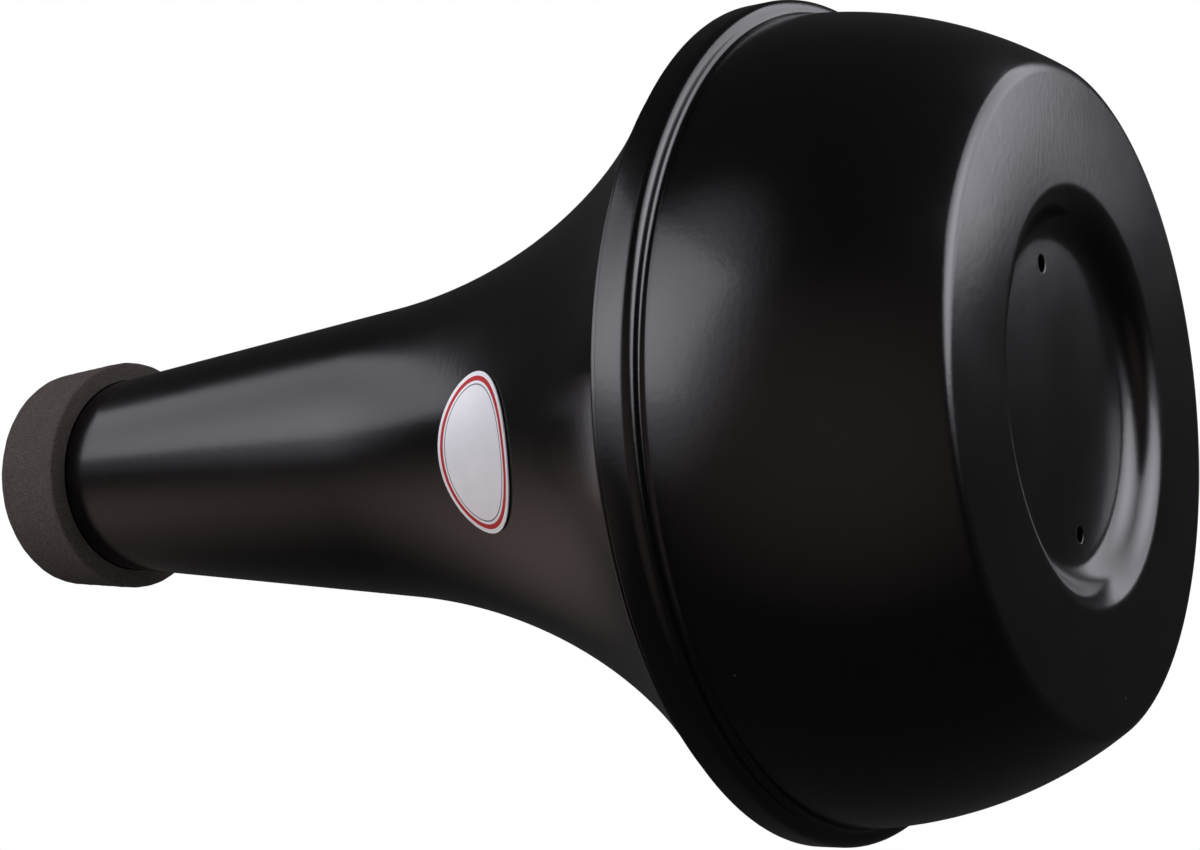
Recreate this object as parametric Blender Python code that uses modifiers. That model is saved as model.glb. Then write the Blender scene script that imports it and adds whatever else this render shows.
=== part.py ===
# Euphonium mute, practice pattern: two spun aluminium shells, a foam collar and a foil label.
# Metres, +Z up. It stands on its base, which faces down at z = 0, with the open neck at the top.
# The axis is Z, and the label faces -Y.

import math

import bmesh
import bpy
from mathutils import Matrix, Vector

# Overall sizes
OVERALL_HEIGHT = 0.337
RIM_RADIUS = 0.105
SEAM_TOP = 0.0698
SEAM_HEIGHT = 0.0088

# Sheet metal, and the clearance between a piece and what it seats on
SHEET = 0.001
SEAT_GAP = 0.0003

# Horn: a straight taper, then a flare that is an arc tangent to it and reaches the skirt's radius
# at a height above the seam
NECK_RADIUS = 0.0295
NECK_TAPER_DEG = 5.88
TAPER_LENGTH = 0.1141
FLARE_RISE = 0.0014
SKIRT_BEND_RADIUS = 0.0012

# Foam collar round the open end of the neck
COLLAR_LENGTH = 0.024
COLLAR_TOP_RADIUS = 0.0336
COLLAR_BOTTOM_RADIUS = 0.0353
COLLAR_EDGE_ROUND = 0.0008
NECK_END_INSET = 0.0015

# Bowl: a socket for the horn's skirt, a barrelled wall, a flat foot ring and a recessed floor
SOCKET_CORNER_RADIUS = 0.0016
SHOULDER_WIDTH = 0.0044
GROOVE_RADIUS = 0.0015
WALL_START_DEG = 3.5
WALL_ARC_RADIUS = 0.110
CREASE_RADIUS = 0.004
RECESS_LIP_RADIUS = 0.051
RECESS_FLOOR_RADIUS = 0.0378
RECESS_DEPTH = 0.0073

# Two vents through the recessed floor, opposite each other
VENT_COUNT = 2
VENT_DIAMETER = 0.004
VENT_CIRCLE_RADIUS = 0.0325
VENT_ANGLE_DEG = -6.0

# Oval foil label, stuck on the flare
LABEL_WIDTH = 0.040
LABEL_HEIGHT = 0.034
LABEL_CENTRE_HEIGHT = 0.1373
LABEL_THICKNESS = 0.0003

# How finely the round shapes are cut up
TURN_STEPS = 64
VENT_SIDES = 16
LABEL_SIDES = 36
MERGE_DISTANCE = 0.00001


def clear_scene():
    for old in list(bpy.data.objects):
        bpy.data.objects.remove(old, do_unlink=True)


def new_collection(name):
    collection = bpy.data.collections.new(name)
    bpy.context.scene.collection.children.link(collection)
    return collection


def new_material(name, colour, roughness, metallic):
    material = bpy.data.materials.new(name)
    material.use_nodes = True
    shader = material.node_tree.nodes["Principled BSDF"]
    shader.inputs["Base Color"].default_value = (*colour, 1.0)
    shader.inputs["Roughness"].default_value = roughness
    shader.inputs["Metallic"].default_value = metallic
    material.diffuse_color = (*colour, 1.0)
    return material


# Points on an arc round (r, z), from one angle to another. 0 points away from the axis, 90 points up.
def arc(r, z, radius, start_deg, end_deg, count):
    angles = [start_deg + (end_deg - start_deg) * i / (count - 1) for i in range(count)]
    return [
        (r + radius * math.cos(math.radians(a)), z + radius * math.sin(math.radians(a)))
        for a in angles
    ]


# A surface turned about Z from a profile of (r, z) points, listed down the outer side.
def turned(name, profile, material, collection, closed=False):
    mesh = bpy.data.meshes.new(name)
    last = len(profile) - 1
    edges = [(i, i + 1) for i in range(last)]
    if closed:
        edges.append((last, 0))
    mesh.from_pydata([(r, 0.0, z) for r, z in profile], edges, [])
    mesh.materials.append(material)
    piece = bpy.data.objects.new(name, mesh)
    collection.objects.link(piece)
    screw = piece.modifiers.new("Turn", "SCREW")
    screw.steps = TURN_STEPS
    screw.render_steps = TURN_STEPS
    screw.use_merge_vertices = True
    screw.merge_threshold = MERGE_DISTANCE
    screw.use_smooth_shade = True
    return piece


# Gives a turned surface its wall, on the inner side of the surface.
def add_wall(piece, thickness):
    wall = piece.modifiers.new("Wall", "SOLIDIFY")
    wall.thickness = thickness
    wall.offset = -1.0
    wall.use_even_offset = True


def add_boolean(piece, cutter, operation):
    boolean = piece.modifiers.new(operation.title(), "BOOLEAN")
    boolean.operation = operation
    boolean.object = cutter
    boolean.solver = "EXACT"


def even_shading(piece):
    piece.modifiers.new("Even_Shading", "WEIGHTED_NORMAL")


# A straight prism with a round or oval outline, along its own Z.
def oval_prism(name, width, height, length, sides, collection):
    mesh = bpy.data.meshes.new(name)
    shape = bmesh.new()
    bmesh.ops.create_cone(
        shape, cap_ends=True, segments=sides, radius1=0.5, radius2=0.5, depth=length
    )
    bmesh.ops.scale(shape, vec=(width, height, 1.0), verts=shape.verts)
    shape.to_mesh(mesh)
    shape.free()
    prism = bpy.data.objects.new(name, mesh)
    prism.hide_render = True
    prism.display_type = "WIRE"
    collection.objects.link(prism)
    return prism


# The horn's flare, worked out from the taper that it is tangent to.
class Flare:
    def __init__(self):
        taper = math.radians(NECK_TAPER_DEG)
        self.top = OVERALL_HEIGHT - COLLAR_LENGTH - TAPER_LENGTH
        self.top_radius = NECK_RADIUS + TAPER_LENGTH * math.tan(taper)
        # The arc's radius follows from its two ends and its slope at the upper one
        out = skirt_radius() - self.top_radius
        down = self.top - (SEAM_TOP + FLARE_RISE)
        lean = out * math.cos(taper) - down * math.sin(taper)
        self.radius = (out * out + down * down) / (2.0 * lean)
        self.centre_r = self.top_radius + self.radius * math.cos(taper)
        self.centre_z = self.top + self.radius * math.sin(taper)

    # Slope in degrees from the axis at a height
    def slope_at_height(self, z):
        return math.degrees(math.asin((self.centre_z - z) / self.radius))

    # A point on the flare, or off it by a distance along its outward normal
    def point(self, slope_deg, lift=0.0):
        slope = math.radians(slope_deg)
        reach = self.radius - lift
        return (
            self.centre_r - reach * math.cos(slope),
            self.centre_z - reach * math.sin(slope),
        )


def socket_radius():
    return RIM_RADIUS - SHEET


def skirt_radius():
    return socket_radius() - SEAT_GAP


# Heights of the shoulder on which the horn's skirt stands
def shoulder_bottom():
    return SEAM_TOP - SEAM_HEIGHT


def shoulder_top():
    return shoulder_bottom() + SHEET


# The neck's outer radius at a height on the straight taper
def neck_radius_at(z):
    below_collar = OVERALL_HEIGHT - COLLAR_LENGTH - z
    return NECK_RADIUS + below_collar * math.tan(math.radians(NECK_TAPER_DEG))


# The horn's outer profile: neck, taper, flare, a tight bend and the skirt that enters the bowl
def horn_profile(flare):
    neck_end = OVERALL_HEIGHT - NECK_END_INSET
    profile = [(neck_radius_at(neck_end), neck_end)]
    # The bend is an arc that touches both the flare and the upright skirt
    reach = flare.radius + SKIRT_BEND_RADIUS
    bend_r = skirt_radius() - SKIRT_BEND_RADIUS
    end_slope = math.degrees(math.acos((flare.centre_r - bend_r) / reach))
    bend_z = flare.centre_z - reach * math.sin(math.radians(end_slope))
    flare_points = 12
    for i in range(flare_points):
        share = i / (flare_points - 1)
        profile.append(flare.point(NECK_TAPER_DEG + (end_slope - NECK_TAPER_DEG) * share))
    profile += arc(bend_r, bend_z, SKIRT_BEND_RADIUS, end_slope, 0.0, 4)[1:]
    profile.append((skirt_radius(), shoulder_top() + SEAT_GAP))
    return profile


def make_horn(flare, material, collection):
    horn = turned("horn", horn_profile(flare), material, collection)
    add_wall(horn, SHEET)
    even_shading(horn)


# The foam ring, with the same taper in its bore as the neck that it is glued on
def make_collar(material, collection):
    top = OVERALL_HEIGHT
    bottom = OVERALL_HEIGHT - COLLAR_LENGTH
    edge = COLLAR_EDGE_ROUND
    profile = arc(COLLAR_TOP_RADIUS - edge, top - edge, edge, 90.0, 0.0, 3)
    profile += arc(COLLAR_BOTTOM_RADIUS - edge, bottom + edge, edge, 0.0, -90.0, 3)
    profile.append((neck_radius_at(bottom) + SEAT_GAP, bottom))
    profile.append((neck_radius_at(top) + SEAT_GAP, top))
    collar = turned("foam_collar", profile, material, collection, closed=True)
    even_shading(collar)


# The recess between foot ring and floor: two equal arcs that meet at the steepest place
def recess_profile():
    span = RECESS_LIP_RADIUS - RECESS_FLOOR_RADIUS
    steepest = 2.0 * math.degrees(math.atan2(RECESS_DEPTH, span))
    radius = span / (2.0 * math.sin(math.radians(steepest)))
    lip = arc(RECESS_LIP_RADIUS, radius, radius, -90.0, -90.0 - steepest, 5)
    floor_arc_z = RECESS_DEPTH - radius
    return lip + arc(RECESS_FLOOR_RADIUS, floor_arc_z, radius, 90.0 - steepest, 90.0, 5)[1:]


# The bowl's outer profile, from the socket's upper edge down and in to the middle of the floor
def bowl_profile():
    corner = SOCKET_CORNER_RADIUS
    shoulder = shoulder_bottom()
    wall_top_radius = RIM_RADIUS - SHOULDER_WIDTH
    profile = [(RIM_RADIUS, SEAM_TOP)]
    profile += arc(RIM_RADIUS - corner, shoulder + corner, corner, 0.0, -90.0, 4)
    groove_r = wall_top_radius + GROOVE_RADIUS
    groove_z = shoulder - GROOVE_RADIUS
    profile += arc(groove_r, groove_z, GROOVE_RADIUS, 90.0, 180.0 + WALL_START_DEG, 4)

    # Barrelled wall: an arc that starts tangent to the groove and runs down to the crease
    start_r, start_z = profile[-1]
    start = math.radians(WALL_START_DEG)
    centre_r = start_r - WALL_ARC_RADIUS * math.cos(start)
    centre_z = start_z + WALL_ARC_RADIUS * math.sin(start)
    drop = centre_z - CREASE_RADIUS
    crease_deg = math.degrees(math.asin(drop / (WALL_ARC_RADIUS - CREASE_RADIUS)))
    profile += arc(centre_r, centre_z, WALL_ARC_RADIUS, -WALL_START_DEG, -crease_deg, 9)[1:]

    # Crease, foot ring, recess and floor
    crease_reach = (WALL_ARC_RADIUS - CREASE_RADIUS) * math.cos(math.radians(crease_deg))
    crease_r = centre_r + crease_reach
    profile += arc(crease_r, CREASE_RADIUS, CREASE_RADIUS, -crease_deg, -90.0, 4)[1:]
    profile += recess_profile()
    profile.append((0.0, RECESS_DEPTH))
    return profile


def make_bowl(material, collection, cutters):
    bowl = turned("bowl", bowl_profile(), material, collection)
    add_wall(bowl, SHEET)
    for i in range(VENT_COUNT):
        angle = math.radians(VENT_ANGLE_DEG + 360.0 * i / VENT_COUNT)
        drill = oval_prism(
            f"vent_drill_{i + 1}", VENT_DIAMETER, VENT_DIAMETER, 4.0 * SHEET, VENT_SIDES, cutters
        )
        drill.location = (
            VENT_CIRCLE_RADIUS * math.cos(angle),
            VENT_CIRCLE_RADIUS * math.sin(angle),
            RECESS_DEPTH + SHEET / 2.0,
        )
        add_boolean(bowl, drill, "DIFFERENCE")
    even_shading(bowl)


# The label: a thin turned skin just off the flare, trimmed to an oval along the flare's normal
def make_label(flare, material, collection, cutters):
    slope = flare.slope_at_height(LABEL_CENTRE_HEIGHT)
    half_sweep = math.degrees(LABEL_HEIGHT / flare.radius)
    rows = 7
    slopes = [slope - half_sweep + 2.0 * half_sweep * i / (rows - 1) for i in range(rows)]
    outer = [flare.point(a, SEAT_GAP + LABEL_THICKNESS) for a in slopes]
    inner = [flare.point(a, SEAT_GAP) for a in reversed(slopes)]
    label = turned("label", outer + inner, material, collection, closed=True)

    centre_r, centre_z = flare.point(slope)
    trim = oval_prism(
        "label_trim", LABEL_WIDTH, LABEL_HEIGHT, LABEL_WIDTH, LABEL_SIDES, cutters
    )
    normal = Vector((0.0, -math.cos(math.radians(slope)), math.sin(math.radians(slope))))
    across = Vector((1.0, 0.0, 0.0))
    turn = Matrix((across, normal.cross(across), normal)).transposed()
    trim.matrix_world = Matrix.Translation((0.0, -centre_r, centre_z)) @ turn.to_4x4()
    add_boolean(label, trim, "INTERSECT")


def main():
    clear_scene()
    parts = new_collection("euphonium_mute")
    cutters = new_collection("cutters")
    black_lacquer = new_material("black_lacquer", (0.012, 0.011, 0.012), 0.28, 0.0)
    collar_foam = new_material("collar_foam", (0.055, 0.047, 0.044), 0.95, 0.0)
    label_foil = new_material("label_foil", (0.78, 0.79, 0.80), 0.35, 0.3)
    flare = Flare()
    make_horn(flare, black_lacquer, parts)
    make_bowl(black_lacquer, parts, cutters)
    make_collar(collar_foam, parts)
    make_label(flare, label_foil, parts, cutters)


main()
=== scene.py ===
import math

import bmesh
import bpy
import numpy as np
from mathutils import Matrix, Vector


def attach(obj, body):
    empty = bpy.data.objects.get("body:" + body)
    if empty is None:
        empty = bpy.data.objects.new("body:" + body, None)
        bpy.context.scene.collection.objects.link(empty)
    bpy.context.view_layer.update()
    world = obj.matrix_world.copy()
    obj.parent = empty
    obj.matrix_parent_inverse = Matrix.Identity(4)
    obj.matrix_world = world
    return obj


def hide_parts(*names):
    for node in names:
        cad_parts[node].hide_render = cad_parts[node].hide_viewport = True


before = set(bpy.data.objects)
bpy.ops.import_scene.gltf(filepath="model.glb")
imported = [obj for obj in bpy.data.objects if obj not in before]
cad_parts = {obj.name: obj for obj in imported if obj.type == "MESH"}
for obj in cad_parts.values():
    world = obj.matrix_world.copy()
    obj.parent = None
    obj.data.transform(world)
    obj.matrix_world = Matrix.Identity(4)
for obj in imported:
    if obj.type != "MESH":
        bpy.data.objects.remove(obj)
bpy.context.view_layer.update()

print("frame loaded:", sorted(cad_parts))

# How finely the turned pieces are cut round the axis. It is even, so that both vents, which lie
# opposite each other, fall on a column.
roundSteps = 256
weldDistance = 1e-7  # points nearer to each other than this are one point


# An arc in the (r, z) plane: centre plus radius times (cos, sin) of an angle that runs evenly
# from one value to the other. 0 degrees points away from the axis and 90 points up.
def arcPoints(r, z, radius, fromDeg, toDeg, count):
    angle = np.radians(np.linspace(fromDeg, toDeg, count))
    return np.stack([r + radius * np.cos(angle), z + radius * np.sin(angle)], axis=1)


# Lengths of profile joined end to end, with every repeated point dropped
def joinProfile(*lengths):
    points = np.vstack([np.atleast_2d(np.array(length, float)) for length in lengths])
    step = np.linalg.norm(np.diff(points, axis=0), axis=1)
    return points[np.r_[True, step > weldDistance]]


# The inner side of a sheet: each point moves along the bisector of its two edges,
# by the sheet's thickness over the cosine of half the turn between them.
def insideOf(profile, sheet):
    edge = np.diff(profile, axis=0)
    edge = edge / np.linalg.norm(edge, axis=1)[:, None]
    normal = np.stack([edge[:, 1], -edge[:, 0]], axis=1)
    before = np.vstack([normal[:1], normal])
    after = np.vstack([normal, normal[-1:]])
    middle = before + after
    middle = middle / np.linalg.norm(middle, axis=1)[:, None]
    lean = np.sum(middle * before, axis=1)
    return profile + middle * (sheet / lean)[:, None]


# A closed profile carried round Z: (r, z) and angle a give (r cos a, r sin a, z).
# Returns the points and the four-sided faces between neighbouring rows and columns.
def turnGrid(profile, startDeg=0.0):
    angle = np.radians(startDeg) + np.linspace(0.0, 2.0 * np.pi, roundSteps, endpoint=False)
    r = profile[:, 0][:, None]
    x = r * np.cos(angle)[None, :]
    y = r * np.sin(angle)[None, :]
    z = np.repeat(profile[:, 1][:, None], roundSteps, axis=1)
    points = np.stack([x, y, z], axis=2)
    return points, gridFaces(len(profile), roundSteps, True, True)


# Faces of a grid of points, wrapped round its rows, its columns or both
def gridFaces(rows, columns, wrapRows, wrapColumns):
    i, j = np.meshgrid(
        np.arange(rows if wrapRows else rows - 1),
        np.arange(columns if wrapColumns else columns - 1),
        indexing="ij",
    )
    down = (i + 1) % rows
    across = (j + 1) % columns
    corners = [i * columns + j, down * columns + j, down * columns + across, i * columns + across]
    return np.stack(corners, axis=2)


# Grids of points and faces joined into one closed mesh object at the origin
def newPiece(name, grids, material, sharpDeg=38.0):
    points = np.vstack([grid[0].reshape(-1, 3) for grid in grids])
    starts = np.cumsum([0] + [grid[0].reshape(-1, 3).shape[0] for grid in grids[:-1]])
    faces = np.vstack([grid[1].reshape(-1, 4) + start for grid, start in zip(grids, starts)])
    mesh = bpy.data.meshes.new(name)
    mesh.from_pydata(points.tolist(), [], faces.tolist())
    shape = bmesh.new()
    shape.from_mesh(mesh)
    bmesh.ops.remove_doubles(shape, verts=shape.verts, dist=weldDistance)
    bmesh.ops.recalc_face_normals(shape, faces=shape.faces)
    shape.to_mesh(mesh)
    shape.free()
    mesh.polygons.foreach_set("use_smooth", np.ones(len(mesh.polygons), bool))
    mesh.set_sharp_from_angle(angle=math.radians(sharpDeg))
    mesh.materials.append(material)
    mesh.update()
    piece = bpy.data.objects.new(name, mesh)
    bpy.context.scene.collection.objects.link(piece)
    print(f"{name}: {len(mesh.polygons)} faces")
    return piece


# Small helpers for nodes. The owner is a material, a lamp's data or a world.
def newMaterial(name, colour, roughness):
    material = bpy.data.materials.new(name)
    material.use_nodes = True
    material.diffuse_color = (*colour, 1.0)
    shader = material.node_tree.nodes["Principled BSDF"]
    shader.inputs["Base Color"].default_value = (*colour, 1.0)
    shader.inputs["Roughness"].default_value = roughness
    return material, shader


def addNode(owner, kind, **values):
    node = owner.node_tree.nodes.new(kind)
    for key, value in values.items():
        setattr(node, key, value)
    return node


def setInputs(node, **values):
    for key, value in values.items():
        node.inputs[key.replace("_", " ")].default_value = value


def wire(owner, source, target):
    owner.node_tree.links.new(source, target)


def mixColours(material, factor, first, second):
    mix = addNode(material, "ShaderNodeMix", data_type="RGBA")
    wire(material, factor, mix.inputs[0])
    for socket, value in ((mix.inputs[6], first), (mix.inputs[7], second)):
        if isinstance(value, tuple):
            socket.default_value = (*value, 1.0)
        else:
            wire(material, value, socket)
    return mix.outputs[2]


def rangeOf(material, value, fromLow, fromHigh, toLow, toHigh):
    node = addNode(material, "ShaderNodeMapRange")
    setInputs(node, From_Min=fromLow, From_Max=fromHigh, To_Min=toLow, To_Max=toHigh)
    wire(material, value, node.inputs["Value"])
    return node.outputs["Result"]


# 1 where a value lies between two limits and 0 elsewhere, with a soft step of the given half width
def stripeOf(material, value, low, high, blur):
    rise = rangeOf(material, value, low - blur, low + blur, 0.0, 1.0)
    fall = rangeOf(material, value, high - blur, high + blur, 1.0, 0.0)
    both = addNode(material, "ShaderNodeMath", operation="MULTIPLY")
    wire(material, rise, both.inputs[0])
    wire(material, fall, both.inputs[1])
    return both.outputs[0]


def noiseOf(material, vector, scale, detail=2.0, roughness=0.5):
    noise = addNode(material, "ShaderNodeTexNoise")
    setInputs(noise, Scale=scale, Detail=detail, Roughness=roughness)
    wire(material, vector, noise.inputs["Vector"])
    return noise.outputs["Fac"]


def bumpOf(material, height, strength, distance, normal=None):
    bump = addNode(material, "ShaderNodeBump")
    setInputs(bump, Strength=strength, Distance=distance)
    wire(material, height, bump.inputs["Height"])
    if normal is not None:
        wire(material, normal, bump.inputs["Normal"])
    return bump.outputs["Normal"]


# Black lacquer over spun aluminium: satin, with faint rings from the spinning under it,
# the slight orange peel of a sprayed coat, and a little dust
lacquerLook = {
    "colour": (0.0016, 0.0013, 0.0015),
    "dustColour": (0.16, 0.155, 0.15),
    "roughLow": 0.17,
    "roughHigh": 0.22,
    "cloudScale": 34.0,
    "peelScale": 620.0,
    "peelStrength": 0.070,
    "peelDepth": 0.0003,
    "ringScale": 420.0,
    "ringStrength": 0.030,
    "ringDepth": 0.0004,
    "dustScale": 85.0,
    "dustSize": 0.022,
    "dustFrom": 0.66,
    "dustTo": 0.68,
    "dustMix": 0.7,
}


def makeLacquer(look):
    material, shader = newMaterial("blackLacquer", look["colour"], look["roughLow"])
    place = addNode(material, "ShaderNodeTexCoord").outputs["Object"]

    # Rings: noise read at (distance from the axis, 0, height), which is the same all the way round
    split = addNode(material, "ShaderNodeSeparateXYZ")
    wire(material, place, split.inputs[0])
    flat = addNode(material, "ShaderNodeCombineXYZ")
    wire(material, split.outputs["X"], flat.inputs["X"])
    wire(material, split.outputs["Y"], flat.inputs["Y"])
    reach = addNode(material, "ShaderNodeVectorMath", operation="LENGTH")
    wire(material, flat.outputs[0], reach.inputs[0])
    ringPlace = addNode(material, "ShaderNodeCombineXYZ")
    wire(material, reach.outputs["Value"], ringPlace.inputs["X"])
    wire(material, split.outputs["Z"], ringPlace.inputs["Z"])
    rings = noiseOf(material, ringPlace.outputs[0], look["ringScale"], 3.0)

    cloud = noiseOf(material, place, look["cloudScale"], 4.0, 0.6)
    wire(material, rangeOf(material, cloud, 0.3, 0.7, look["roughLow"], look["roughHigh"]),
         shader.inputs["Roughness"])
    peel = noiseOf(material, place, look["peelScale"], 2.0)
    ringed = bumpOf(material, rings, look["ringStrength"], look["ringDepth"])
    wire(material, bumpOf(material, peel, look["peelStrength"], look["peelDepth"], ringed),
         shader.inputs["Normal"])

    # Dust: small round dots in about a third of the cells of a Voronoi pattern
    cells = addNode(material, "ShaderNodeTexVoronoi")
    setInputs(cells, Scale=look["dustScale"])
    wire(material, place, cells.inputs["Vector"])
    dot = rangeOf(material, cells.outputs["Distance"],
                  look["dustSize"], look["dustSize"] * 0.5, 0.0, 1.0)
    chosen = addNode(material, "ShaderNodeSeparateColor")
    wire(material, cells.outputs["Color"], chosen.inputs[0])
    some = rangeOf(material, chosen.outputs[0],
                   look["dustFrom"], look["dustTo"], 0.0, look["dustMix"])
    both = addNode(material, "ShaderNodeMath", operation="MULTIPLY")
    wire(material, dot, both.inputs[0])
    wire(material, some, both.inputs[1])
    wire(material, mixColours(material, both.outputs[0], look["colour"], look["dustColour"]),
         shader.inputs["Base Color"])
    return material


blackLacquer = makeLacquer(lacquerLook)

# Horn: the upper shell, with a straight taper, a long flare and a short upright skirt
horn = {
    "height": 0.337,
    "collarLength": 0.024,
    "endInset": 0.0015,
    "neckRadius": 0.0295,
    "taperDeg": 5.88,
    "taperLength": 0.1141,
    "flareFoot": 0.0712,
    "bendRadius": 0.0008,
    "flareEnd": 0.1037,
    "skirtRadius": 0.1027,
    "skirtFoot": 0.0623,
    "sheet": 0.001,
    "flareSteps": 96,
    "bendSteps": 10,
}


# The flare's arc is tangent to the taper at its upper end and would reach the socket at its
# foot: radius = (out^2 + down^2) / 2 (out cos taper - down sin taper). Gives centre and radius.
def flareArc(size):
    taper = math.radians(size["taperDeg"])
    topZ = size["height"] - size["collarLength"] - size["taperLength"]
    topR = size["neckRadius"] + size["taperLength"] * math.tan(taper)
    out = size["flareEnd"] - topR
    down = topZ - size["flareFoot"]
    lean = out * math.cos(taper) - down * math.sin(taper)
    radius = (out * out + down * down) / (2.0 * lean)
    return topR + radius * math.cos(taper), topZ + radius * math.sin(taper), radius


def neckRadiusAt(size, z):
    below = size["height"] - size["collarLength"] - z
    return size["neckRadius"] + below * math.tan(math.radians(size["taperDeg"]))


# Flare: centre minus radius times (cos, sin) of the slope. The bend to the skirt is an arc
# that touches the flare and the upright skirt.
def hornProfile(size):
    centreR, centreZ, flare = flareArc(size)
    bend = size["bendRadius"]
    reach = flare + bend
    bendR = size["skirtRadius"] - bend
    endSlope = math.degrees(math.acos((centreR - bendR) / reach))
    bendZ = centreZ - reach * math.sin(math.radians(endSlope))
    neckEnd = size["height"] - size["endInset"]
    return joinProfile(
        (neckRadiusAt(size, neckEnd), neckEnd),
        arcPoints(centreR, centreZ, flare, 180.0 + size["taperDeg"], 180.0 + endSlope,
                  size["flareSteps"]),
        arcPoints(bendR, bendZ, bend, endSlope, 0.0, size["bendSteps"]),
        (size["skirtRadius"], size["skirtFoot"]),
    )


def makeHorn(size, material):
    outer = hornProfile(size)
    inner = insideOf(outer, size["sheet"])
    piece = newPiece("hornShell", [turnGrid(np.vstack([outer, inner[::-1]]))], material)
    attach(piece, "root")
    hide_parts("horn")


makeHorn(horn, blackLacquer)

# Bowl: a band that sleeves over the skirt, a shoulder and groove under it, a barrelled wall,
# a crease, a flat foot ring and a recessed floor with two vents
bowl = {
    "rimRadius": 0.105,
    "seamTop": 0.0698,
    "bandHeight": 0.0088,
    "edgeRound": 0.0003,
    "cornerRadius": 0.0026,
    "hemRadius": 0.1030,
    "hemDepth": 0.0040,
    "shoulderWidth": 0.0044,
    "grooveRadius": 0.0015,
    "wallStartDeg": 3.5,
    "wallArcRadius": 0.110,
    "creaseRadius": 0.004,
    "recessLipRadius": 0.051,
    "recessFloorRadius": 0.0378,
    "recessDepth": 0.0073,
    "sheet": 0.001,
    "ventRadius": 0.002,
    "ventCircle": 0.0325,
    "ventDeg": -6.0,
    "ventPatch": 0.0032,
    "ventSteps": 8,
    "ventRings": 6,
    "ventEdge": 0.00025,
    "edgeSteps": 5,
    "cornerSteps": 10,
    "arcSteps": 12,
    "wallSteps": 48,
    "floorSteps": 7,
}


def bowlProfile(size):
    corner = size["cornerRadius"]
    rim = size["rimRadius"]
    edge = size["edgeRound"]
    shoulder = size["seamTop"] - size["bandHeight"]
    groove = size["grooveRadius"]
    grooveR = rim - size["shoulderWidth"] + groove
    start = size["wallStartDeg"]
    band = arcPoints(rim - edge, size["seamTop"] - edge, edge, 90.0, 0.0, size["edgeSteps"])
    underBand = arcPoints(rim - corner, shoulder + corner, corner, 0.0, -90.0, size["cornerSteps"])
    channel = arcPoints(grooveR, shoulder - groove, groove, 90.0, 180.0 + start, size["arcSteps"])

    # The wall's arc starts tangent to the groove and runs down to the crease's arc
    radius = size["wallArcRadius"]
    crease = size["creaseRadius"]
    centreR = channel[-1, 0] - radius * math.cos(math.radians(start))
    centreZ = channel[-1, 1] + radius * math.sin(math.radians(start))
    creaseDeg = math.degrees(math.asin((centreZ - crease) / (radius - crease)))
    creaseR = centreR + (radius - crease) * math.cos(math.radians(creaseDeg))
    wall = arcPoints(centreR, centreZ, radius, -start, -creaseDeg, size["wallSteps"])
    foot = arcPoints(creaseR, crease, crease, -creaseDeg, -90.0, size["arcSteps"])

    # The recess is two equal arcs that meet at the steepest place
    span = size["recessLipRadius"] - size["recessFloorRadius"]
    steep = 2.0 * math.degrees(math.atan2(size["recessDepth"], span))
    curve = span / (2.0 * math.sin(math.radians(steep)))
    lip = arcPoints(size["recessLipRadius"], curve, curve, -90.0, -90.0 - steep, size["arcSteps"])
    floorArcZ = size["recessDepth"] - curve
    sweep = arcPoints(size["recessFloorRadius"], floorArcZ, curve, 90.0 - steep, 90.0,
                      size["arcSteps"])
    outline = joinProfile(band, underBand, channel, wall, foot, lip, sweep)

    # The floor's rows match the rows of the vents' patches
    patchOut = size["ventCircle"] + size["ventPatch"]
    patchIn = size["ventCircle"] - size["ventPatch"]
    rows = np.r_[patchOut, np.linspace(patchOut, patchIn, size["ventSteps"] + 1)[1:],
                 np.linspace(patchIn, 0.0, size["floorSteps"])[1:]]
    floor = np.stack([rows, np.full(len(rows), size["recessDepth"])], axis=1)
    return joinProfile(outline, floor), len(outline)


# A vent's patch: a loop of points goes round the patch's outline and a circle goes round the hole,
# and rows between them are straight mixes of the two. The rows run over the outer face,
# round the hole's rounded edge, up through the sheet and back over the inner face.
def ventGrid(size, angleDeg):
    steps = size["ventSteps"]
    middle = math.radians(angleDeg)
    halfTurn = steps / 2 * 2.0 * math.pi / roundSteps
    side = np.linspace(-1.0, 1.0, steps + 1)[:-1]
    ones = np.ones(steps)
    across = np.r_[side, ones, -side, -ones]
    along = np.r_[ones, -side, -ones, side]
    loopR = size["ventCircle"] + size["ventPatch"] * along
    loopAngle = middle + halfTurn * across
    loop = np.stack([loopR * np.cos(loopAngle), loopR * np.sin(loopAngle)], axis=1)
    centre = size["ventCircle"] * np.array([math.cos(middle), math.sin(middle)])
    spoke = loop - centre
    spoke = spoke / np.linalg.norm(spoke, axis=1)[:, None]

    edge = size["ventEdge"]
    low = size["recessDepth"]
    high = low + size["sheet"]
    bend = np.radians(np.linspace(0.0, 90.0, size["edgeSteps"]))
    roundR = size["ventRadius"] + edge * (1.0 - np.sin(bend))
    roundZ = edge * (1.0 - np.cos(bend))
    mixes = np.linspace(0.0, 1.0, size["ventRings"])[:-1]
    rings = []
    for share in mixes:
        flat = (1.0 - share) * loop + share * (centre + spoke * roundR[0])
        rings.append(np.c_[flat, np.full(len(flat), low)])
    for reach, rise in zip(roundR, roundZ):
        rings.append(np.c_[centre + spoke * reach, np.full(len(loop), low + rise)])
    for reach, rise in zip(roundR[::-1], roundZ[::-1]):
        rings.append(np.c_[centre + spoke * reach, np.full(len(loop), high - rise)])
    for share in mixes[::-1]:
        flat = (1.0 - share) * loop + share * (centre + spoke * roundR[0])
        rings.append(np.c_[flat, np.full(len(flat), high)])
    points = np.stack(rings)
    return points, gridFaces(len(rings), len(loop), False, True)


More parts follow.
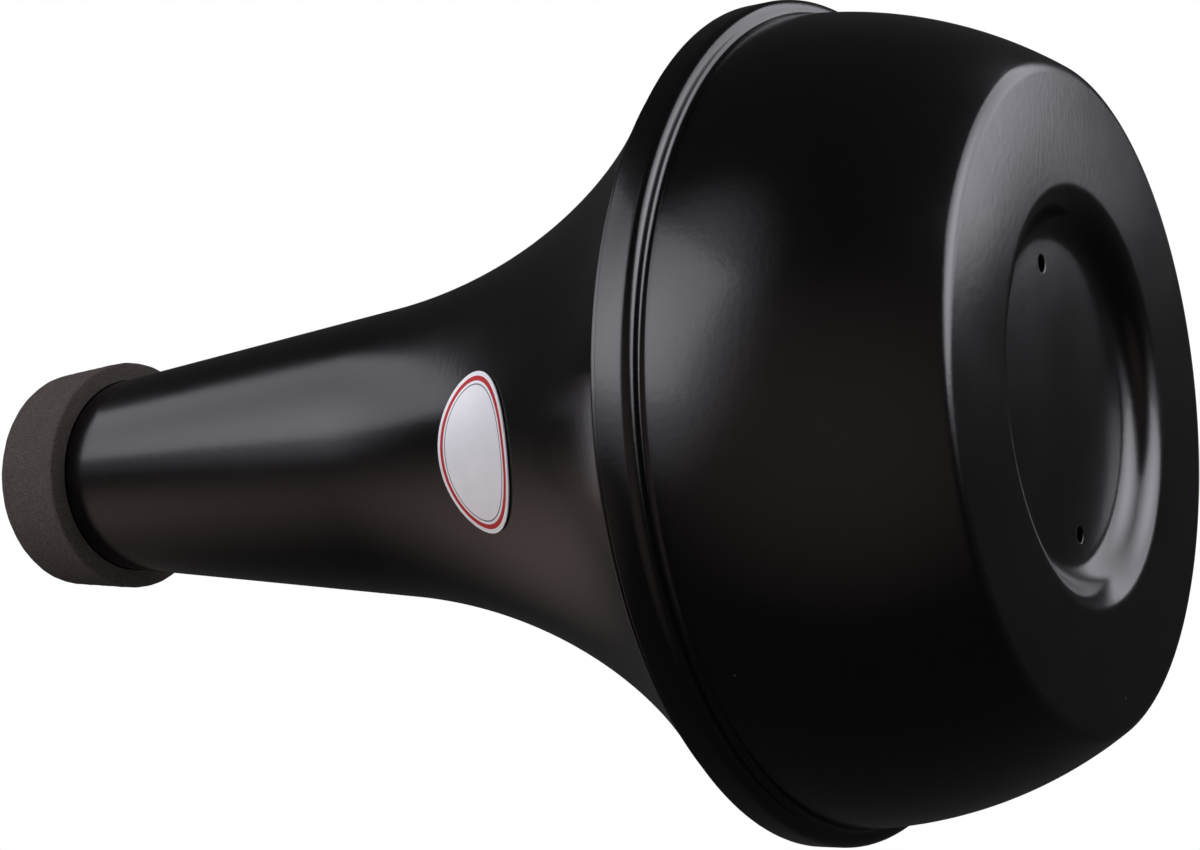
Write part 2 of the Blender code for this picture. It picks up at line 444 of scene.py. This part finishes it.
def makeBowl(size, material):
    outer, floorStart = bowlProfile(size)
    inner = insideOf(outer, size["sheet"])
    inner[-1, 0] = 0.0
    # The band's upper edge is folded in on itself: the wall inside it starts below the fold
    foldFoot = size["seamTop"] - size["hemDepth"]
    socket = size["rimRadius"] - size["sheet"]
    steps = size["edgeSteps"]
    inner[:steps] = np.linspace((socket, foldFoot), inner[steps], steps + 1)[:-1]
    edge = size["edgeRound"]
    fold = np.vstack([
        [(size["hemRadius"], foldFoot)],
        arcPoints(size["hemRadius"] + edge, size["seamTop"] - edge, edge, 180.0, 90.0, steps),
    ])
    sheets = np.vstack([outer, inner[::-1]])
    whole = np.vstack([sheets, fold])
    points, faces = turnGrid(whole, size["ventDeg"])

    # Faces inside the two patches give way to the patches, on the outer and on the inner side
    rows = np.arange(len(whole))
    last = floorStart + size["ventSteps"]
    outerRows = (rows >= floorStart) & (rows < last)
    innerRows = (rows >= len(sheets) - 1 - last) & (rows < len(sheets) - 1 - floorStart)
    column = np.arange(roundSteps)
    half = size["ventSteps"] // 2
    fromVent = (column + half) % (roundSteps // 2)
    inPatch = fromVent < size["ventSteps"]
    keep = ~((outerRows | innerRows)[:, None] & inPatch[None, :])
    patches = [ventGrid(size, size["ventDeg"]), ventGrid(size, size["ventDeg"] + 180.0)]
    piece = newPiece("bowlShell", [(points, faces[keep])] + patches, material)
    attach(piece, "root")
    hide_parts("bowl")


makeBowl(bowl, blackLacquer)

# Foam collar: dark, matt, closed cells that were cut open at its faces, with painted shade in their
# hollows
foam = {
    "topRadius": 0.0336,
    "bottomRadius": 0.0353,
    "edgeRound": 0.0008,
    "glueGap": 0.0003,
    "ripple": 0.0001,
    "rippleSink": 0.6,
    "waves": ((7.0, 900.0, 0.0, 1.0), (17.0, -1400.0, 1.0, 1.0), (41.0, 2300.0, 2.0, 0.7)),
    "colour": (0.060, 0.049, 0.045),
    # The darkest colour is painted shade for the hollows of the cut cells
    "pitShadeColour": (0.026, 0.021, 0.019),
    "paleColour": (0.088, 0.074, 0.068),
    "roughness": 0.95,
    "specular": 0.18,
    "cellScale": 2100.0,
    "cellStrength": 0.6,
    "cellDepth": 0.0004,
    "grainScale": 3400.0,
    "grainStrength": 0.5,
    "grainDepth": 0.0003,
    "patchScale": 160.0,
    "patchMix": 0.35,
}


def makeFoam(look):
    material, shader = newMaterial("collarFoam", look["colour"], look["roughness"])
    shader.inputs["Specular IOR Level"].default_value = look["specular"]
    place = addNode(material, "ShaderNodeTexCoord").outputs["Object"]
    cells = addNode(material, "ShaderNodeTexVoronoi")
    setInputs(cells, Scale=look["cellScale"], Randomness=1.0)
    wire(material, place, cells.inputs["Vector"])
    # Painted shade: the middle of each cut cell, its hollow, is darkened towards the darkest colour,
    # standing in for the shade that falls into it
    pitShade = rangeOf(material, cells.outputs["Distance"], 0.15, 0.55, 1.0, 0.0)
    grain = noiseOf(material, place, look["grainScale"], 2.0)
    pale = rangeOf(material, grain, 0.52, 0.72, 0.0, 1.0)
    patch = noiseOf(material, place, look["patchScale"], 3.0)
    base = mixColours(material, rangeOf(material, patch, 0.3, 0.7, 0.0, look["patchMix"]),
                      look["colour"], look["paleColour"])
    speckled = mixColours(material, pale, base, look["paleColour"])
    wire(material, mixColours(material, pitShade, speckled, look["pitShadeColour"]),
         shader.inputs["Base Color"])
    coarse = bumpOf(material, grain, look["grainStrength"], look["grainDepth"])
    wire(material, bumpOf(material, cells.outputs["Distance"],
                          look["cellStrength"], look["cellDepth"], coarse),
         shader.inputs["Normal"])
    return material


# A round-edged ring on the neck's taper. Its skin ripples by about a tenth of a millimetre: the
# radius gains the sum of gain times sin(round x angle + along x height + shift), and sinks a
# little, so that the crests stay near the ring's own radius.
def makeCollar(size, neck, material):
    top = neck["height"]
    bottom = top - neck["collarLength"]
    edge = size["edgeRound"]
    outside = joinProfile(
        arcPoints(size["topRadius"] - edge, top - edge, edge, 90.0, 8.0, 7),
        np.linspace((size["topRadius"], top - edge), (size["bottomRadius"], bottom + edge), 40),
        arcPoints(size["bottomRadius"] - edge, bottom + edge, edge, -8.0, -90.0, 7),
    )
    gap = size["glueGap"]
    boreFoot = (neckRadiusAt(neck, bottom) + gap, bottom)
    boreTop = (neckRadiusAt(neck, top) + gap, top)
    bore = np.linspace(boreFoot, boreTop, 12)
    points, faces = turnGrid(joinProfile(outside, bore))
    angle = np.arctan2(points[..., 1], points[..., 0])
    height = points[..., 2]
    wave = sum(gain * np.sin(around * angle + along * height + shift)
               for around, along, shift, gain in size["waves"])
    wave = wave / sum(part[3] for part in size["waves"]) - size["rippleSink"]
    onSkin = (np.arange(points.shape[0]) < len(outside))[:, None]
    growth = 1.0 + np.where(onSkin, size["ripple"] * wave, 0.0) / size["bottomRadius"]
    points[..., 0] = points[..., 0] * growth
    points[..., 1] = points[..., 1] * growth
    piece = newPiece("foamCollar", [(points, faces)], material, sharpDeg=50.0)
    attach(piece, "root")
    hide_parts("foam_collar")


makeCollar(foam, horn, makeFoam(foam))

# Label: an oval of foil on the flare, silver with a red ring near its edge
label = {
    "width": 0.040,
    "height": 0.034,
    "centreHeight": 0.1373,
    "lift": 0.0003,
    "thickness": 0.0003,
    "rows": 56,
    "columns": 128,
    "silver": (0.90, 0.91, 0.93),
    "red": (0.50, 0.020, 0.022),
    "grey": (0.10, 0.10, 0.11),
    "ringFrom": 0.0011,
    "ringTo": 0.0023,
    "lineFrom": 0.0030,
    "lineTo": 0.0033,
    "blur": 0.00004,
    "dullShare": 0.9,
    "metallic": 0.5,
    "roughness": 0.42,
    "roughLow": 0.38,
    "roughHigh": 0.48,
    "sheenScale": 55.0,
    "crinkleScale": 700.0,
    "crinkleStrength": 0.05,
    "crinkleDepth": 0.0003,
}


def makeFoil(look):
    material, shader = newMaterial("labelFoil", look["silver"], look["roughness"])
    shader.inputs["Metallic"].default_value = look["metallic"]
    place = addNode(material, "ShaderNodeTexCoord").outputs["Object"]
    fromEdge = addNode(material, "ShaderNodeAttribute", attribute_name="fromEdge").outputs["Fac"]
    sheen = noiseOf(material, place, look["sheenScale"], 3.0)
    dull = tuple(look["dullShare"] * part for part in look["silver"])
    field = mixColours(material, rangeOf(material, sheen, 0.35, 0.65, 0.0, 1.0), look["silver"], dull)
    ring = stripeOf(material, fromEdge, look["ringFrom"], look["ringTo"], look["blur"])
    line = stripeOf(material, fromEdge, look["lineFrom"], look["lineTo"], look["blur"])
    ringed = mixColours(material, ring, field, look["red"])
    wire(material, mixColours(material, line, ringed, look["grey"]), shader.inputs["Base Color"])
    wire(material, rangeOf(material, sheen, 0.3, 0.7, look["roughLow"], look["roughHigh"]),
         shader.inputs["Roughness"])
    crinkle = noiseOf(material, place, look["crinkleScale"], 2.0)
    wire(material, bumpOf(material, crinkle, look["crinkleStrength"], look["crinkleDepth"]),
         shader.inputs["Normal"])
    return material


# An oval laid on the flare: a point (x, y) of the flat oval goes to the place on the turned flare
# that lies under it along the flare's normal at the oval's centre. Rows run from the middle to the
# edge and columns go round. The slope a there solves R sin(a - a0) = y + r (1 - cos t) sin a0,
# with r = centre - R cos a and sin t = x / r. Six rounds of it settle the slope.
def labelFace(size, neck, lift):
    centreR, centreZ, flare = flareArc(neck)
    slope = math.asin((centreZ - size["centreHeight"]) / flare)
    share = np.linspace(0.0, 1.0, size["rows"])[:, None]
    angle = np.linspace(0.0, 2.0 * np.pi, size["columns"], endpoint=False)[None, :]
    x = share * size["width"] / 2.0 * np.cos(angle)
    y = share * size["height"] / 2.0 * np.sin(angle)
    lean = np.full(x.shape, slope)
    for _ in range(6):
        r = centreR - flare * np.cos(lean)
        aside = np.arcsin(x / r)
        lean = slope + np.arcsin((y + r * (1.0 - np.cos(aside)) * math.sin(slope)) / flare)
    r = centreR - (flare - lift) * np.cos(lean)
    z = centreZ - (flare - lift) * np.sin(lean)
    points = np.stack([r * np.sin(aside), -r * np.cos(aside), z], axis=2)

    # Distance of each point from the oval's edge, in metres
    edge = np.stack([x[-1], y[-1]], axis=1)
    finer = np.linspace(0.0, len(edge), 8 * len(edge), endpoint=False)  # 8 points in each side
    wrapped = np.vstack([edge, edge[:1]])
    edge = np.stack([np.interp(finer, np.arange(len(wrapped)), wrapped[:, k]) for k in (0, 1)], axis=1)
    flat = np.stack([x, y], axis=2).reshape(-1, 1, 2)
    fromEdge = np.linalg.norm(flat - edge[None], axis=2).min(axis=1)
    return points, fromEdge.reshape(x.shape)


def makeLabel(size, neck, material):
    front, frontEdge = labelFace(size, neck, size["lift"] + size["thickness"])
    back, backEdge = labelFace(size, neck, size["lift"])
    points = np.concatenate([front, back[::-1]])
    faces = gridFaces(points.shape[0], points.shape[1], False, True)
    piece = newPiece("foilLabel", [(points, faces)], material)
    where = np.vstack([front.reshape(-1, 3), back.reshape(-1, 3)])
    value = np.r_[frontEdge.ravel(), backEdge.ravel()]
    setByNearest(piece.data, "fromEdge", where, value)
    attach(piece, "root")
    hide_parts("label")


# Gives each vertex the value of the listed point nearest to it, some hundreds of vertices at a time
def setByNearest(mesh, name, where, value):
    place = np.empty(len(mesh.vertices) * 3)
    mesh.vertices.foreach_get("co", place)
    place = place.reshape(-1, 3)
    found = np.empty(len(place))
    block = 512
    for start in range(0, len(place), block):
        gap = np.linalg.norm(place[start:start + block, None] - where[None], axis=2)
        found[start:start + block] = value[gap.argmin(axis=1)]
    attribute = mesh.attributes.new(name, "FLOAT", "POINT")
    attribute.data.foreach_set("value", found)


makeLabel(label, horn, makeFoil(label))

# Camera: where the photograph was taken from, low and off the base's side, and rolled
# so that the neck points to the left of the picture
view = {
    "place": (0.012674, -0.484007, -0.180793),
    "right": (-0.09488, 0.54662, -0.83199),
    "up": (0.99504, 0.02687, -0.09582),
    "lens": 64.45,
    "sensorWidth": 36.0,
    "clipStart": 0.01,
    "shiftX": 0.0013,
    "shiftY": -0.0833,
}


def makeCamera(size):
    right = Vector(size["right"]).normalized()
    up = Vector(size["up"])
    up = (up - up.dot(right) * right).normalized()
    back = right.cross(up)
    data = bpy.data.cameras.new("camera")
    data.sensor_width = size["sensorWidth"]
    data.lens = size["lens"]
    data.shift_x = size["shiftX"]
    data.shift_y = size["shiftY"]
    data.clip_start = size["clipStart"]
    camera = bpy.data.objects.new("camera", data)
    turn = Matrix((right, up, back)).transposed().to_4x4()
    camera.matrix_world = Matrix.Translation(Vector(size["place"])) @ turn
    bpy.context.scene.collection.objects.link(camera)
    bpy.context.scene.camera = camera
    return right, up, back


right, up, back = makeCamera(view)
print("camera set")

# Lights stand where they stood for the camera: degrees round from behind the camera towards the
# right of the picture, degrees up, degrees wide and high as the object sees them, distance in
# metres, and brightness of the face. A soft one fades from its middle to nothing at its edge.
cool = (0.925, 0.915, 1.0)
warm = (1.0, 0.76, 0.70)
lights = {
    "leftPanel": {"round": -82.0, "up": 27.0, "wide": 72.0, "high": 40.0, "away": 1.4,
                  "glow": 1.45, "soft": False, "colour": cool},
    "leftMiddle": {"round": -75.0, "up": 17.0, "wide": 60.0, "high": 58.0, "away": 1.3,
                   "glow": 2.4, "soft": True, "colour": cool},
    "leftInner": {"round": -52.0, "up": 24.0, "wide": 50.0, "high": 84.0, "away": 1.2,
                  "glow": 1.9, "soft": True, "colour": cool},
    "rightPanel": {"round": 86.0, "up": 35.0, "wide": 74.0, "high": 52.0, "away": 1.4,
                   "glow": 2.5, "soft": False, "colour": cool},
    "rightMiddle": {"round": 68.0, "up": 28.0, "wide": 70.0, "high": 64.0, "away": 1.3,
                    "glow": 4.2, "soft": True, "colour": cool},
    "frontFill": {"round": -8.0, "up": -4.0, "wide": 112.0, "high": 100.0, "away": 1.5,
                  "glow": 0.26, "soft": True, "colour": warm},
    "lowFill": {"round": -112.0, "up": -24.0, "wide": 100.0, "high": 46.0, "away": 1.5,
                "glow": 0.40, "soft": True, "colour": warm},
}
target = Vector((0.0, 0.0, 0.13))


# Brightness over the lamp's face: smooth from 1 at the middle (0.5, 0.5) to 0 half a width away
def fadeToEdge(data):
    data.use_nodes = True
    face = addNode(data, "ShaderNodeNewGeometry")
    middle = addNode(data, "ShaderNodeVectorMath", operation="DISTANCE")
    middle.inputs[1].default_value = (0.5, 0.5, 0.0)
    fade = addNode(data, "ShaderNodeMapRange", interpolation_type="SMOOTHSTEP")
    setInputs(fade, From_Min=0.5, From_Max=0.0)
    wire(data, face.outputs["Parametric"], middle.inputs[0])
    wire(data, middle.outputs["Value"], fade.inputs["Value"])
    wire(data, fade.outputs["Result"], data.node_tree.nodes["Emission"].inputs["Strength"])


# A flat lamp's power is pi times its brightness and its area
def makeLight(name, size):
    around = math.radians(size["round"])
    rise = math.radians(size["up"])
    aim = math.cos(rise) * (math.sin(around) * right + math.cos(around) * back) + math.sin(rise) * up
    data = bpy.data.lights.new(name, "AREA")
    data.shape = "RECTANGLE"
    data.size = 2.0 * size["away"] * math.tan(math.radians(size["wide"] / 2.0))
    data.size_y = 2.0 * size["away"] * math.tan(math.radians(size["high"] / 2.0))
    data.energy = math.pi * size["glow"] * data.size * data.size_y
    data.color = size["colour"]
    if size["soft"]:
        fadeToEdge(data)
    lamp = bpy.data.objects.new(name, data)
    side = up.cross(aim).normalized()
    top = aim.cross(side)
    lamp.matrix_world = (Matrix.Translation(target + aim * size["away"])
                         @ Matrix((side, top, aim)).transposed().to_4x4())
    lamp.visible_camera = False
    bpy.context.scene.collection.objects.link(lamp)


for lightName, lightSize in lights.items():
    makeLight(lightName, lightSize)
print("lights set")

# Stage: a pale floor under the foot ring and a white background. The camera of the photograph looks
# from below the floor, so its underside is clear.
stage = {
    "floorSize": 6.0,
    "floorSteps": 9,
    "floorColour": (0.80, 0.80, 0.80),
    "floorRoughness": 0.9,
    "floorSpecular": 0.1,
    "ambient": 0.16,
    "shine": 0.035,
}


# A flat grid at z = 0. The order of the faces' corners is turned round, so that they point up.
def makeFloor(size):
    half = size["floorSize"] / 2.0
    steps = size["floorSteps"]
    u, v = np.meshgrid(np.linspace(-half, half, steps), np.linspace(-half, half, steps))
    points = np.stack([u, v, np.zeros_like(u)], axis=2).reshape(-1, 3)
    faces = gridFaces(steps, steps, False, False).reshape(-1, 4)[:, ::-1]
    mesh = bpy.data.meshes.new("floor")
    mesh.from_pydata(points.tolist(), [], faces.tolist())
    floor = bpy.data.objects.new("floor", mesh)
    bpy.context.scene.collection.objects.link(floor)
    material, shader = newMaterial("paleFloor", size["floorColour"], size["floorRoughness"])
    shader.inputs["Specular IOR Level"].default_value = size["floorSpecular"]
    clear = addNode(material, "ShaderNodeBsdfTransparent")
    facing = addNode(material, "ShaderNodeNewGeometry").outputs["Backfacing"]
    mix = addNode(material, "ShaderNodeMixShader")
    wire(material, facing, mix.inputs[0])
    wire(material, shader.outputs[0], mix.inputs[1])
    wire(material, clear.outputs[0], mix.inputs[2])
    wire(material, mix.outputs[0], material.node_tree.nodes["Material Output"].inputs["Surface"])
    mesh.materials.append(material)
    floor.visible_glossy = False
    floor.visible_shadow = False


# The larger, or the product, of two outputs or of an output and a number
def pairOf(world, operation, first, second):
    node = addNode(world, "ShaderNodeMath", operation=operation)
    wire(world, first, node.inputs[0])
    if isinstance(second, float):
        node.inputs[1].default_value = second
    else:
        wire(world, second, node.inputs[1])
    return node.outputs[0]


# White to the camera and through clear surfaces, dim in gloss, and dim as light on matt surfaces
def makeWorld(size):
    world = bpy.data.worlds.new("studio")
    bpy.context.scene.world = world
    world.use_nodes = True
    world.node_tree.nodes.clear()
    path = addNode(world, "ShaderNodeLightPath").outputs
    seen = pairOf(world, "MAXIMUM", path["Is Camera Ray"], path["Is Transmission Ray"])
    shine = pairOf(world, "MULTIPLY", path["Is Glossy Ray"], size["shine"])
    ambient = pairOf(world, "MULTIPLY", path["Is Diffuse Ray"], size["ambient"])
    strength = pairOf(world, "MAXIMUM", pairOf(world, "MAXIMUM", seen, shine), ambient)
    sky = addNode(world, "ShaderNodeBackground")
    sky.inputs["Color"].default_value = (1.0, 1.0, 1.0, 1.0)
    wire(world, strength, sky.inputs["Strength"])
    end = addNode(world, "ShaderNodeOutputWorld")
    wire(world, sky.outputs[0], end.inputs["Surface"])


makeFloor(stage)
makeWorld(stage)
bpy.context.scene.view_settings.view_transform = "Standard"
print("stage set")
